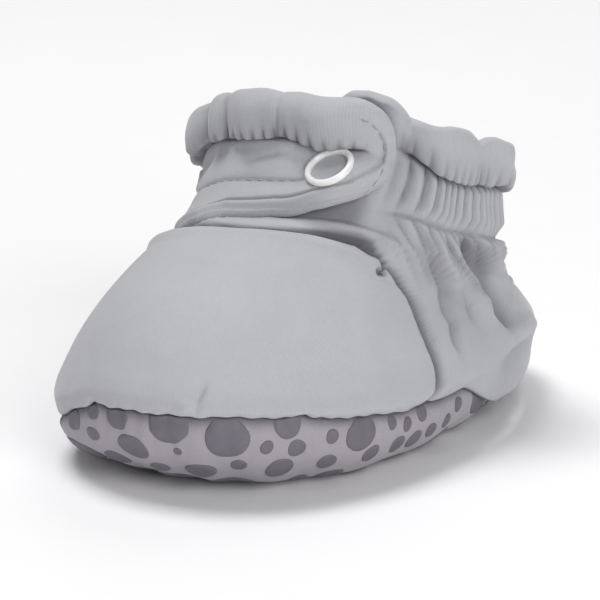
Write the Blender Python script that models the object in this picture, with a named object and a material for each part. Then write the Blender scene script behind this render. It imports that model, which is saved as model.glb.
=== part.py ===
"""Soft fabric bootie slipper for a baby: one left shoe, sewn from jersey, with a padded soft sole.

Frame: metres, +Z up, the floor at z = 0, the toe towards -Y, the wearer's outer side towards +X.
The origin is on the floor under the middle of the sole.

The upper is one hollow shell. Its form is read from courses: closed rings round the shoe, one
above the other, from the sole seam to the top of the ruffle. A point on it has two numbers. The
turn goes round the shoe, in degrees, from the toe (0) over the outer side (90) to the heel (180).
The level is the course that the point lies on. The strap and the snap are set on the same form.
"""

import math

import bmesh
import bpy
import numpy as np

# Driving sizes of the shoe
LENGTH = 0.114
BALL_WIDTH = 0.0706
INSTEP_HEIGHT = 0.0448
HEEL_HEIGHT = 0.0365

# Thicknesses and clearances
WALL = 0.0022
RUFFLE_WALL = 0.0016
SOLE_THICKNESS = 0.0030
INSOLE_THICKNESS = 0.0020
STRAP_THICKNESS = 0.0024
GAP = 0.0003
PANEL_STEP = 0.0006

# Courses of the upper. half_width is a share of half the ball width. toe_y, wide_y and heel_y are
# shares of half the length. heel_z is a share of the heel height, which is measured to the top of
# the elastic at the back, and every other height is a share of the instep height at the throat.
# toe_round and heel_round are the exponents of the plan curve: 2 is an ellipse, more is squarer.
# crest is how flat a course stays across the toe before it falls to the side. corner_drop and
# inner_drop are how much lower it lies at the inner corner of the toe and along the inner side.
COURSE_COLUMNS = (
    "half_width", "toe_y", "wide_y", "heel_y", "toe_z", "side_z", "heel_z",
    "toe_round", "heel_round", "crest", "corner_drop", "inner_drop",
)
COURSES = (
    ("sole_seam", 0.915, -0.956, -0.16, 0.947, 0.368, 0.257, 0.126, 2.15, 2.00, 3.5, 0.134, 0.000),
    ("low_bulge", 1.000, -0.982, -0.09, 1.018, 0.464, 0.335, 0.225, 2.20, 2.30, 3.2, 0.116, 0.000),
    ("bulge_top", 0.986, -0.947, -0.02, 1.028, 0.569, 0.424, 0.367, 2.15, 2.25, 3.0, 0.089, 0.000),
    ("toe_dome", 0.935, -0.877, 0.05, 0.996, 0.692, 0.502, 0.479, 2.10, 2.10, 3.0, 0.058, 0.000),
    ("vamp_low", 0.878, -0.754, 0.14, 0.926, 0.812, 0.569, 0.570, 2.05, 2.05, 3.0, 0.031, 0.000),
    ("vamp_high", 0.836, -0.570, 0.23, 0.842, 0.924, 0.625, 0.652, 2.00, 2.00, 3.0, 0.013, 0.000),
    ("throat", 0.810, -0.377, 0.32, 0.775, 1.000, 0.692, 0.707, 2.05, 2.00, 3.0, 0.000, 0.022),
    ("casing_low", 0.793, -0.263, 0.32, 0.728, 1.060, 0.893, 0.781, 2.10, 2.00, 4.0, 0.000, 0.067),
    ("casing_top", 0.807, -0.149, 0.32, 0.702, 1.279, 1.094, 1.000, 2.10, 2.00, 4.0, 0.022, 0.112),
    ("rim", 0.921, -0.175, 0.32, 0.816, 1.484, 1.339, 1.192, 2.10, 2.00, 3.5, 0.033, 0.145),
)
COURSE_NAMES = [row[0] for row in COURSES]
SEAM = COURSE_NAMES.index("sole_seam")
THROAT = COURSE_NAMES.index("throat")
CASING_LOW = COURSE_NAMES.index("casing_low")
CASING_TOP = COURSE_NAMES.index("casing_top")
RIM = COURSE_NAMES.index("rim")

# The seam between vamp and quarter runs from the sole up to the end of the throat
SEAM_TURN_AT_SOLE = 100.0
SEAM_TURN_AT_THROAT = 54.0
SEAM_SWEEP = 1.6
SEAM_COLUMN = 75.0

# Mesh of the upper: columns round the shoe, and the levels of its outer and inner rows
COLUMNS = 112
THROAT_DROP = 0.04
STRAP_FOOT = 6.75
VAMP_LEVELS = (SEAM, 0.5, 1, 1.6, 2.3, 3.1, 3.9, 4.6, 5.3, THROAT, THROAT + THROAT_DROP)
CASING_LEVELS = (STRAP_FOOT, CASING_LOW, 7.25, 7.5, 7.75, CASING_TOP, 8.3, 8.65, RIM)
OUTER_LEVELS = (*VAMP_LEVELS, STRAP_FOOT - 0.1, *CASING_LEVELS)
INNER_LEVELS = (RIM, 8.5, CASING_TOP, 7.4, 6.7, 6, 5, 3.8, 2.6, 1.3, 0)

# Gathers of the elastic casing, and the waves of the ruffle above it
PLEAT_DEPTH = 0.0006
GATHER_START = 56.0
GATHER_RAMP = 16.0
WAVES = (
    # waves round the shoe, phase in degrees, height at the rim
    (13, 20.0, 0.0013),
    (7, 130.0, 0.0008),
    (22, 60.0, 0.0004),
)
RIM_DIP = 0.0007

# The strap, and the seat that the upper leaves for it
STRAP_ROOT_COLUMN = 30
STRAP_ROOT_TURN = -64.3
STRAP_ROOT_EDGE = 1.0
STRAP_ROOT_GAP = 0.8
STRAP_ROOT_DROP = 0.45
STRAP_LEVEL_TURN = -15.0
STRAP_TIP_TURN = 51.0
STRAP_ROUND_TURN = 25.0
STRAP_COLUMNS = 40
SEAT_FADE_TURN = 47.0
SEAT_END_TURN = 82.0
SEAT_SLOPE = 0.6

# Ring snap: a cap ring outside the strap, the closed socket between, a ring inside the upper
SNAP_TURN = 26.0
SNAP_LEVEL = 7.7
SNAP_LEAN = 12.0
SNAP_RING_RADIUS = 0.0049
SNAP_RING_HOLE = 0.0034
SNAP_RING_HEIGHT = 0.0010
SOCKET_RADIUS = 0.0040
SOCKET_HEIGHT = 0.0014
SNAP_LIFT = 0.0012
SNAP_SINK = 0.0013
SNAP_FLAT_RADIUS = 0.0055
SNAP_BLEND_RADIUS = 0.0125

# Sole: the share of the outline that lies flat on the floor at toe, side and heel
SOLE_COLUMNS = 56
FLAT_AT_TOE = 0.66
FLAT_AT_SIDE = 0.68
FLAT_AT_HEEL = 0.80
SOLE_CENTRE_Y = -0.004
SOLE_BELLY = 0.90
SOLE_STEPS = (0.0, 0.25, 0.5, 0.75, 1.0)
INSOLE_ROWS = 3


def smoothstep(start, end, value):
    """0 before start, 1 after end, and a smooth rise between them."""
    share = np.clip((np.asarray(value, float) - start) / (end - start), 0.0, 1.0)
    return share * share * (3 - 2 * share)


def course_at(level):
    """The course table at any level, as a smooth curve through its rows."""
    below = int(min(max(math.floor(level), 0), RIM - 1))
    share = level - below
    rows = [COURSES[min(max(below + step, 0), RIM)][1:] for step in (-1, 0, 1, 2)]
    found = {}
    for name, a, b, c, d in zip(COURSE_COLUMNS, *rows):
        tangent_b = (c - a) / 2
        tangent_c = (d - b) / 2
        found[name] = (
            b * (2 * share**3 - 3 * share**2 + 1)
            + tangent_b * (share**3 - 2 * share**2 + share)
            + c * (3 * share**2 - 2 * share**3)
            + tangent_c * (share**3 - share**2)
        )
    return found


def form(turn, level):
    """Points of the bare form of the upper, for turns in degrees on one level."""
    course = course_at(level)
    angle = np.radians(np.asarray(turn, float))
    along, across = np.cos(angle), np.sin(angle)
    front = along > 0
    round_off = np.where(front, course["toe_round"], course["heel_round"])
    reach = np.where(front, course["wide_y"] - course["toe_y"], course["heel_y"] - course["wide_y"])
    fall = np.where(front, np.abs(across) ** course["crest"], across**2)
    side_z = course["side_z"] * INSTEP_HEIGHT
    end_z = np.where(front, course["toe_z"] * INSTEP_HEIGHT, course["heel_z"] * HEEL_HEIGHT)
    corner = np.where(front & (across < 0), np.sin(2 * angle) ** 2, 0.0)
    half_width = course["half_width"] * BALL_WIDTH / 2
    x = half_width * np.sign(across) * np.abs(across) ** (2 / round_off)
    y = course["wide_y"] - reach * np.sign(along) * np.abs(along) ** (2 / round_off)
    z = end_z + (side_z - end_z) * fall
    drop = course["corner_drop"] * corner + course["inner_drop"] * np.minimum(across, 0.0) ** 2
    return np.stack([x, y * LENGTH / 2, z - drop * INSTEP_HEIGHT], axis=-1)


def form_normal(turn, level, step=0.02):
    """Outward unit normals of the bare form."""
    turn = np.asarray(turn, float)
    round_shoe = form(turn + 40 * step, level) - form(turn - 40 * step, level)
    up_shoe = form(turn, min(level + step, RIM)) - form(turn, max(level - step, 0))
    normal = np.cross(round_shoe, up_shoe)
    return normal / np.linalg.norm(normal, axis=-1, keepdims=True)


def seam_turn(level):
    """The turn of the seam between vamp and quarter."""
    share = min(level / THROAT, 1.0) ** SEAM_SWEEP
    return SEAM_TURN_AT_SOLE + (SEAM_TURN_AT_THROAT - SEAM_TURN_AT_SOLE) * share


def turn_of_column(column, level):
    """Columns crowd or spread so that one of them follows the vamp's seam on each side."""
    seam = seam_turn(level)
    size = np.abs(column)
    ahead = size * seam / SEAM_COLUMN
    behind = seam + (size - SEAM_COLUMN) * (180 - seam) / (180 - SEAM_COLUMN)
    return np.sign(column) * np.where(size < SEAM_COLUMN, ahead, behind)


def seat_depth(turn, level):
    """How far the upper lies below the bare form, under the strap and behind the vamp's edge."""
    root = smoothstep(STRAP_ROOT_TURN, STRAP_ROOT_TURN + STRAP_ROOT_EDGE, turn)
    behind_vamp = smoothstep(SEAM_TURN_AT_THROAT, SEAT_FADE_TURN, turn)
    behind_vamp = behind_vamp * smoothstep(THROAT, THROAT + THROAT_DROP, level)
    tip = smoothstep(SEAT_END_TURN, STRAP_TIP_TURN, turn)
    foot = STRAP_FOOT - 0.1 - SEAT_SLOPE * smoothstep(STRAP_ROUND_TURN, STRAP_TIP_TURN, turn)
    under_strap = tip * smoothstep(foot, STRAP_FOOT, level)
    return (STRAP_THICKNESS + GAP) * root * np.maximum(behind_vamp, under_strap)


def snap_frame():
    """The point of the bare form at the snap, and its outward, sideways and upward directions.
    The snap leans back further than the form does."""
    centre = form(SNAP_TURN, SNAP_LEVEL)
    normal = form_normal(SNAP_TURN, SNAP_LEVEL)
    side = np.cross([0.0, 0.0, 1.0], normal)
    side /= np.linalg.norm(side)
    lean = math.radians(SNAP_LEAN)
    out = normal * math.cos(lean) + np.cross(normal, side) * math.sin(lean)
    return centre, out, side, np.cross(out, side)


def pressed_flat(points, form_points, height):
    """Points near the snap, pressed into a plane square to it that lies this high over the form."""
    centre, out = snap_frame()[:2]
    distance = np.linalg.norm(form_points - centre, axis=-1)
    share = 1 - smoothstep(SNAP_FLAT_RADIUS, SNAP_BLEND_RADIUS, distance)
    return points + out * (share * (height - (points - centre) @ out))[..., None]


def ruffle_wave(turn, level):
    """Outward wave of the ruffle. It is nothing at the stitch line and full at the rim."""
    wave = sum(height * np.cos(np.radians(count * turn + phase)) for count, phase, height in WAVES)
    return wave * max(level - CASING_TOP, 0.0) ** 1.2


def with_ruffle(points, normals, turn, level):
    """Points moved by the ruffle's waves, which also dip its edge."""
    wave = ruffle_wave(turn, level)
    dip = np.zeros_like(points)
    dip[..., 2] = -RIM_DIP / WAVES[0][2] * np.abs(wave)
    return points + normals * wave[..., None] + dip


def shoe_columns():
    """Columns round the shoe: even ones, and one more where the strap's seat begins."""
    even = np.arange(COLUMNS) * 360.0 / COLUMNS - 180.0
    return np.insert(even, STRAP_ROOT_COLUMN + 1, even[STRAP_ROOT_COLUMN] + STRAP_ROOT_EDGE)


def upper_row(level, inner):
    """One closed row of the upper, on its outer or its inner face."""
    column = shoe_columns()
    turn = turn_of_column(column, level)
    base, normals = form(turn, level), form_normal(turn, level)
    depth = seat_depth(turn, level)
    snap_height = -(STRAP_THICKNESS + GAP + SNAP_SINK)
    if inner:
        wall = WALL + (RUFFLE_WALL - WALL) * float(smoothstep(CASING_TOP, RIM, level))
        depth = depth + wall
        snap_height = snap_height - wall
    else:
        quarter = smoothstep(SEAM_COLUMN - 0.5, SEAM_COLUMN + 2, np.abs(column))
        below_casing = 1 - smoothstep(THROAT, CASING_LOW, level)
        gathered = smoothstep(GATHER_START, GATHER_START + GATHER_RAMP, turn)
        gathered = gathered + smoothstep(STRAP_ROOT_TURN, STRAP_ROOT_TURN - GATHER_RAMP, turn)
        in_casing = math.exp(-(((level - 7.5) / 0.45) ** 2))
        pleat = np.where(np.arange(len(column)) % 2 == 0, 1.0, -1.0)
        depth = depth + PANEL_STEP * quarter * below_casing
        depth = depth - PLEAT_DEPTH * pleat * np.clip(gathered, 0, 1) * in_casing
    points = pressed_flat(base - normals * depth[..., None], base, snap_height)
    return with_ruffle(points, normals, turn, level)


def sole_form():
    """Rows of the sole's underside, the flat edge on the floor first and the seam last, with
    their upward and inward unit normals."""
    turn = np.arange(SOLE_COLUMNS) * 360.0 / SOLE_COLUMNS - 180.0
    seam = form(turn, SEAM)
    along = np.cos(np.radians(turn))
    end = np.where(along > 0, FLAT_AT_TOE, FLAT_AT_HEEL)
    flat = FLAT_AT_SIDE + (end - FLAT_AT_SIDE) * along**2
    rows = []
    for step in SOLE_STEPS:
        swing = step * SOLE_BELLY * math.pi / 2
        whole = SOLE_BELLY * math.pi / 2
        share = flat + (1 - flat) * math.sin(swing) / math.sin(whole)
        rise = (1 - math.cos(swing)) / (1 - math.cos(whole))
        row = seam.copy()
        row[:, 0] = seam[:, 0] * share
        row[:, 1] = SOLE_CENTRE_Y + (seam[:, 1] - SOLE_CENTRE_Y) * share
        row[:, 2] = (seam[:, 2] - GAP) * rise
        rows.append(row)
    grid = np.array(rows)
    outward = np.gradient(grid, axis=0)
    round_shoe = np.roll(grid, -1, axis=1) - np.roll(grid, 1, axis=1)
    normals = np.cross(outward, round_shoe)
    normals[-1, :, 2] = 0.0
    return grid, normals / np.linalg.norm(normals, axis=-1, keepdims=True)


def material(name, colour, roughness, metallic=0.0):
    made = bpy.data.materials.new(name)
    made.use_nodes = True
    shader = made.node_tree.nodes["Principled BSDF"]
    shader.inputs["Base Color"].default_value = (*colour, 1.0)
    shader.inputs["Roughness"].default_value = roughness
    shader.inputs["Metallic"].default_value = metallic
    return made


def add_object(name, bm, finish):
    bmesh.ops.recalc_face_normals(bm, faces=bm.faces)
    mesh = bpy.data.meshes.new(name)
    bm.to_mesh(mesh)
    bm.free()
    mesh.materials.append(finish)
    mesh.shade_smooth()
    mesh.set_sharp_from_angle(angle=math.radians(40))
    made = bpy.data.objects.new(name, mesh)
    bpy.context.scene.collection.objects.link(made)
    return made


def lathe_rows(bm, rows, closed_across):
    """Faces over closed rows of points. closed_across joins the last row to the first, and
    otherwise the first and last rows are filled."""
    grid = [[bm.verts.new(point) for point in row] for row in rows]
    count = len(grid[0])
    pairs = list(zip(grid, grid[1:]))
    if closed_across:
        pairs.append((grid[-1], grid[0]))
    for low, high in pairs:
        for i in range(count):
            j = (i + 1) % count
            bm.faces.new((low[i], low[j], high[j], high[i]))
    if not closed_across:
        bm.faces.new(grid[0])
        bm.faces.new(grid[-1])


def build_upper(finish):
    """Vamp, both quarters, gathered casing and ruffle: one hollow wall, open above and below."""
    rows = [upper_row(level, inner=False) for level in OUTER_LEVELS]
    rows += [upper_row(level, inner=True) for level in INNER_LEVELS]
    bm = bmesh.new()
    lathe_rows(bm, rows, closed_across=True)
    return add_object("upper", bm, finish)


def build_sole(finish):
    """Padded fabric sole: flat on the floor, and turned up like a dish to the seam."""
    under, normals = sole_form()
    inside = under + normals * SOLE_THICKNESS
    bm = bmesh.new()
    lathe_rows(bm, [*under, *inside[::-1]], closed_across=False)
    return add_object("sole", bm, finish)


def build_insole(finish):
    """Thin lining pad that lies in the dish of the sole."""
    under, normals = sole_form()
    low = (under + normals * (SOLE_THICKNESS + GAP))[:INSOLE_ROWS]
    top = low + normals[:INSOLE_ROWS] * INSOLE_THICKNESS
    bm = bmesh.new()
    lathe_rows(bm, [*low, *top[::-1]], closed_across=False)
    return add_object("insole", bm, finish)


def strap_columns():
    """Turns of the strap's columns, with the lowest and highest level of each.
    They close in towards the tip, which is half round, and the foot dips towards the root."""
    root = STRAP_ROOT_TURN + STRAP_ROOT_EDGE + STRAP_ROOT_GAP
    straight = np.linspace(root, STRAP_ROUND_TURN, STRAP_COLUMNS - 11)
    swing = np.linspace(0.0, 0.96 * math.pi / 2, 12)[1:]
    rounded = STRAP_ROUND_TURN + (STRAP_TIP_TURN - STRAP_ROUND_TURN) * np.sin(swing)
    turns = np.concatenate([straight, rounded])
    half = np.concatenate([np.ones(len(straight)), np.cos(swing)])
    middle, reach = (STRAP_FOOT + RIM) / 2, (RIM - STRAP_FOOT) / 2
    dip = STRAP_ROOT_DROP * smoothstep(STRAP_LEVEL_TURN, STRAP_ROOT_TURN, turns)
    return turns, middle - reach * half - dip, middle + reach * half


def strap_point(turn, level, depth):
    """A point of the strap, this deep below its outer face."""
    turn = np.array([turn])
    base, normal = form(turn, level), form_normal(turn, level)
    point = pressed_flat(base - normal * depth, base, SNAP_LIFT - depth)
    return with_ruffle(point, normal, turn, level)[0]


def build_strap(finish):
    """Strap across the instep, with its own stretch of ruffle and a half-round end."""
    turns, lows, highs = strap_columns()
    shares = (np.array(CASING_LEVELS) - STRAP_FOOT) / (RIM - STRAP_FOOT)
    rows = []
    for turn, low, high in zip(turns, lows, highs):
        levels = low + (high - low) * shares
        thin = STRAP_THICKNESS * np.where(levels > CASING_TOP, 0.8, 1.0)
        outer = [strap_point(turn, level, 0.0) for level in levels]
        inner = [strap_point(turn, level, depth) for level, depth in zip(levels, thin)]
        rows.append(outer + inner[::-1])
    bm = bmesh.new()
    lathe_rows(bm, rows, closed_across=False)
    return add_object("strap", bm, finish)


def build_snap_ring(name, offset, finish):
    """A turned ring of half-round section, set square to the strap at this height from the form."""
    centre, out, side, up = snap_frame()
    middle = (SNAP_RING_RADIUS + SNAP_RING_HOLE) / 2
    half = (SNAP_RING_RADIUS - SNAP_RING_HOLE) / 2
    section = [(middle - half, 0.0), (middle + half, 0.0)]
    for swing in np.linspace(0.0, math.pi, 7)[1:-1]:
        section.append((middle + half * math.cos(swing), SNAP_RING_HEIGHT * math.sin(swing)))
    steps = 28
    direction = math.copysign(1.0, offset)
    rows = []
    for angle in np.arange(steps) * 2 * math.pi / steps:
        radial = side * math.cos(angle) + up * math.sin(angle)
        rows.append([centre + radial * r + out * (offset + direction * h) for r, h in section])
    bm = bmesh.new()
    lathe_rows(bm, rows, closed_across=True)
    return add_object(name, bm, finish)


def build_snap_socket(finish):
    """The closed socket and stud, a small drum between the strap and the upper."""
    centre, out, side, up = snap_frame()
    top = SNAP_LIFT - STRAP_THICKNESS - 2 * GAP
    steps = 24
    rows = []
    for radius, drop in (
        (SOCKET_RADIUS * 0.85, 0.0),
        (SOCKET_RADIUS, 0.15),
        (SOCKET_RADIUS, 0.85),
        (SOCKET_RADIUS * 0.85, 1.0),
    ):
        ring = np.arange(steps) * 2 * math.pi / steps
        height = top - drop * SOCKET_HEIGHT
        rows.append([centre + out * height + radius * (side * math.cos(a) + up * math.sin(a)) for a in ring])
    bm = bmesh.new()
    lathe_rows(bm, rows, closed_across=False)
    return add_object("snap_socket", bm, finish)


def main():
    for old in list(bpy.data.objects):
        bpy.data.objects.remove(old)
    jersey = material("grey_jersey", (0.46, 0.465, 0.49), 0.9)
    sole_cloth = material("sole_cloth", (0.48, 0.455, 0.49), 0.9)
    lining = material("lining_jersey", (0.52, 0.52, 0.54), 0.95)
    enamel = material("white_enamel", (0.88, 0.88, 0.87), 0.35)
    build_sole(sole_cloth)
    build_insole(lining)
    build_upper(jersey)
    build_strap(jersey)
    build_snap_ring("snap_cap_ring", SNAP_LIFT + GAP, enamel)
    build_snap_socket(enamel)
    inside = -(STRAP_THICKNESS + GAP + SNAP_SINK + WALL + 3 * GAP)
    build_snap_ring("snap_post_ring", inside, enamel)


main()
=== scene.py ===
"""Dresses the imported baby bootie: padded dotted sole, jersey upper, ruffled strap and ring snap."""
import math

import bpy
import numpy as np
from mathutils import Matrix, Vector
from mathutils.bvhtree import BVHTree


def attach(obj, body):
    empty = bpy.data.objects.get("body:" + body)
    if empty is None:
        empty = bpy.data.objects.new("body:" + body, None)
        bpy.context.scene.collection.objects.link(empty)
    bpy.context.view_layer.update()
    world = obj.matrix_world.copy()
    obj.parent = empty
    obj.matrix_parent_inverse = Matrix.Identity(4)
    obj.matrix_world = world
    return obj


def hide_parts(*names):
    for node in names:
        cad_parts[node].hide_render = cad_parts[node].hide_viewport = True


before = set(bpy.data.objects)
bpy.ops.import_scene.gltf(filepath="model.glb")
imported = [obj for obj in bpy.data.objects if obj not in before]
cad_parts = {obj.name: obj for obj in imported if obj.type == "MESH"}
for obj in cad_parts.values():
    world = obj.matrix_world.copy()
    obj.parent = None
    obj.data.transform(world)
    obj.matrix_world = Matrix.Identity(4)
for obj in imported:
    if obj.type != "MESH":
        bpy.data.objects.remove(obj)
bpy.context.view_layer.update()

# Padded sole
# The real sole is brushed cotton cloth over a thin wadding, cut wide and sewn to the upper all
# round, so that its edge turns up like a dish. The upper's seam is the top of that dish.
MM = 0.001
LENGTH = 0.114
BALL_WIDTH = 0.0706
INSTEP_HEIGHT = 0.0448
HEEL_HEIGHT = 0.0365

# The shoe's form, as rings from the sole seam up to the rim of the ruffle. The columns are half
# width, toe, widest place and heel along the shoe, heights at toe, side and heel, how square the
# ring is at toe and heel, how flat it stays over the toe, and its drop at the inner corner and side.
RINGS = np.array(
    [
        (0.915, -0.956, -0.16, 0.947, 0.368, 0.257, 0.126, 2.15, 2.00, 3.5, 0.134, 0.000),
        (1.000, -0.982, -0.09, 1.018, 0.464, 0.335, 0.225, 2.20, 2.30, 3.2, 0.116, 0.000),
        (0.986, -0.947, -0.02, 1.028, 0.569, 0.424, 0.367, 2.15, 2.25, 3.0, 0.089, 0.000),
        (0.935, -0.877, 0.05, 0.996, 0.692, 0.502, 0.479, 2.10, 2.10, 3.0, 0.058, 0.000),
        (0.878, -0.754, 0.14, 0.926, 0.812, 0.569, 0.570, 2.05, 2.05, 3.0, 0.031, 0.000),
        (0.836, -0.570, 0.23, 0.842, 0.924, 0.625, 0.652, 2.00, 2.00, 3.0, 0.013, 0.000),
        (0.810, -0.377, 0.32, 0.775, 1.000, 0.692, 0.707, 2.05, 2.00, 3.0, 0.000, 0.022),
        (0.793, -0.263, 0.32, 0.728, 1.060, 0.893, 0.781, 2.10, 2.00, 4.0, 0.000, 0.067),
        (0.807, -0.149, 0.32, 0.702, 1.279, 1.094, 1.000, 2.10, 2.00, 4.0, 0.022, 0.112),
        (0.921, -0.175, 0.32, 0.816, 1.484, 1.339, 1.192, 2.10, 2.00, 3.5, 0.033, 0.145),
    ]
)
RIM = len(RINGS) - 1


def ramp(start, end, value):
    """0 before start, 1 after end, and a smooth rise between them."""
    share = np.clip((np.asarray(value, float) - start) / (end - start), 0.0, 1.0)
    return share * share * (3 - 2 * share)


def bell(off, width):
    """1 where off is 0, and falling to 0 at about twice the width on both sides."""
    return np.exp(-((off / width) ** 2))


def form(turn, level):
    """Points of the shoe's form. turn is in degrees from the toe over the outer side to the heel,
    and level is the ring, with fractions between two rings."""
    turn, level = np.broadcast_arrays(np.asarray(turn, float), np.asarray(level, float))
    held = np.clip(level, 0, RIM)
    below = np.clip(np.floor(held), 0, RIM - 1).astype(int)
    s = (held - below)[..., None]
    a, b, c, d = (RINGS[np.clip(below + step, 0, RIM)] for step in (-1, 0, 1, 2))
    ring = b * (2 * s**3 - 3 * s**2 + 1) + (c - a) / 2 * (s**3 - 2 * s**2 + s)
    ring = ring + c * (3 * s**2 - 2 * s**3) + (d - b) / 2 * (s**3 - s**2)
    ring = ring + np.maximum(level - RIM, 0.0)[..., None] * (RINGS[RIM] - RINGS[RIM - 1])
    width, toe_y, wide_y, heel_y, toe_z, side_z, heel_z = np.moveaxis(ring[..., :7], -1, 0)
    toe_round, heel_round, crest, corner_drop, inner_drop = np.moveaxis(ring[..., 7:], -1, 0)
    along, across = np.cos(np.radians(turn)), np.sin(np.radians(turn))
    ahead = along > 0
    power = 2 / np.where(ahead, toe_round, heel_round)
    reach = np.where(ahead, wide_y - toe_y, heel_y - wide_y)
    fall = np.where(ahead, np.abs(across) ** crest, across**2)
    end_z = np.where(ahead, toe_z * INSTEP_HEIGHT, heel_z * HEEL_HEIGHT)
    corner = np.where(ahead & (across < 0), np.sin(2 * np.radians(turn)) ** 2, 0.0)
    drop = corner_drop * corner + inner_drop * np.minimum(across, 0.0) ** 2
    x = width * BALL_WIDTH / 2 * np.sign(across) * np.abs(across) ** power
    y = (wide_y - reach * np.sign(along) * np.abs(along) ** power) * LENGTH / 2
    z = end_z + (side_z * INSTEP_HEIGHT - end_z) * fall - drop * INSTEP_HEIGHT
    return np.stack([x, y, z], axis=-1)


def unit(vectors):
    return vectors / np.maximum(np.linalg.norm(vectors, axis=-1, keepdims=True), 1e-12)


def form_out(turn, level):
    """Outward directions of the form."""
    turn, level = np.asarray(turn, float), np.asarray(level, float)
    round_shoe = form(turn + 0.7, level) - form(turn - 0.7, level)
    up_shoe = form(turn, level + 0.02) - form(turn, np.maximum(level - 0.02, 0))
    return unit(np.cross(round_shoe, up_shoe))


def paced(points, axis):
    """Distance run along the points of a grid, in metres, from the first row or column."""
    steps = np.linalg.norm(np.diff(points, axis=axis), axis=-1)
    start = np.zeros_like(np.take(steps, [0], axis=axis))
    return np.cumsum(np.concatenate([start, steps], axis=axis), axis=axis)


def grid_quads(rows, columns, closed_rows, closed_columns):
    """The corners of the faces over a grid of points, which may close on itself either way."""
    row = np.arange(rows if closed_rows else rows - 1)[:, None]
    column = np.arange(columns if closed_columns else columns - 1)[None, :]
    next_row, next_column = (row + 1) % rows, (column + 1) % columns
    corners = [row * columns + column, row * columns + next_column]
    corners += [next_row * columns + next_column, next_row * columns + column]
    quads = np.stack(np.broadcast_arrays(*corners), axis=-1).reshape(-1, 4)
    return [tuple(quad) for quad in quads.tolist()]


def new_piece(name, points, faces):
    """A piece from its points and faces, turned to face outwards and shaded smooth."""
    mesh = bpy.data.meshes.new(name)
    mesh.from_pydata(points, [], faces)
    made = bpy.data.objects.new(name, mesh)
    bpy.context.scene.collection.objects.link(made)
    bpy.ops.object.select_all(action="DESELECT")
    made.select_set(True)
    bpy.context.view_layer.objects.active = made
    bpy.ops.object.mode_set(mode="EDIT")
    bpy.ops.mesh.select_all(action="SELECT")
    bpy.ops.mesh.normals_make_consistent(inside=False)
    bpy.ops.object.mode_set(mode="OBJECT")
    mesh.shade_smooth()
    return made


def cloth_object(name, points, cloth_uv, painted_shade, closed_rows, closed_columns):
    """A piece over a grid of points, with its cloth map in metres and a value of painted shade per point.
    Open ends of the rows are filled."""
    rows, columns = points.shape[:2]
    faces = grid_quads(rows, columns, closed_rows, closed_columns)
    if not closed_columns:
        faces.append(tuple(range(0, rows * columns, columns)))
        faces.append(tuple(range(columns - 1, rows * columns, columns))[::-1])
    if not closed_rows:
        faces.append(tuple(range(columns))[::-1])
        faces.append(tuple(range((rows - 1) * columns, rows * columns)))
    made = new_piece(name, points.reshape(-1, 3).tolist(), faces)
    mesh = made.data
    corner_of_loop = np.empty(len(mesh.loops), int)
    mesh.loops.foreach_get("vertex_index", corner_of_loop)
    layer = mesh.uv_layers.new(name="cloth")
    layer.data.foreach_set("uv", cloth_uv.reshape(-1, 2)[corner_of_loop].astype(np.float32).ravel())
    # The painted shade goes on each point as an attribute
    painted_shade_layer = mesh.attributes.new("painted_shade", "FLOAT", "POINT")
    painted_shade_layer.data.foreach_set("value", painted_shade.reshape(-1).astype(np.float32))
    return made


SOLE_THICKNESS = 3.0 * MM
SOLE_CENTRE_Y = -0.004
FLAT_TOE, FLAT_SIDE, FLAT_HEEL = 0.53, 0.66, 0.80
SOLE_BELLY = 0.90
SOLE_COLUMNS = 300
SEAM_GAP = 0.3 * MM
SEAM_STANDS_OUT = 1.2 * MM
BAND_SWELL = 0.9 * MM
BAND_RIPPLE = 0.25 * MM
SEAM_PUCKER = 0.16 * MM
SEAM_INSET = 0.5 * MM
INNER_EDGE_RISE = 1.4 * MM


def seam_rise(turn):
    """How far the sewn edge runs above the form's lowest ring. It is pulled up over the toe, with
    two small peaks, and it waves a little all round."""
    turn = (np.asarray(turn, float) + 180) % 360 - 180
    pulled = np.interp(turn, (-70, -30, -10, 6, 32, 60, 86, 108), (0, 0.3, 0.8, 0.6, 1.2, 1.8, 0.8, 0))
    peaks = 0.7 * bell(turn + 10, 2.6) + 0.7 * bell(turn - 53, 2.4)
    waves = 0.14 * np.sin(turn / 2.6 + 2 * np.sin(turn / 17)) + 0.10 * np.sin(turn / 5.3)
    return (pulled + peaks + waves) * MM


def sewn_out(points, level):
    """Points of the form with its lowest part let out, because the sewn edge stands out a little."""
    away = np.stack([points[..., 0], points[..., 1] - SOLE_CENTRE_Y, 0 * points[..., 2]], axis=-1)
    return points + unit(away) * (SEAM_STANDS_OUT * ramp(1.3, 0.0, level))[..., None]


def sole_point(turn, share):
    """The sole's underside. share runs from 0 in the middle over 1, the edge of the flat, to 2."""
    seam = sewn_out(form(turn, 0.0), np.zeros_like(turn, dtype=float))
    along = np.cos(np.radians(turn))
    flat = FLAT_SIDE + (np.where(along > 0, FLAT_TOE, FLAT_HEEL) - FLAT_SIDE) * along**2
    whole = SOLE_BELLY * math.pi / 2
    swing = np.clip(share - 1, 0, 1) * whole
    reach = np.where(share < 1, flat * share, flat + (1 - flat) * np.sin(swing) / math.sin(whole))
    rise = (1 - np.cos(swing)) / (1 - math.cos(whole))
    x = seam[..., 0] * reach
    y = SOLE_CENTRE_Y + (seam[..., 1] - SOLE_CENTRE_Y) * reach
    return np.stack([x, y, (seam[..., 2] + seam_rise(turn) - SEAM_GAP) * rise], axis=-1)


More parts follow.
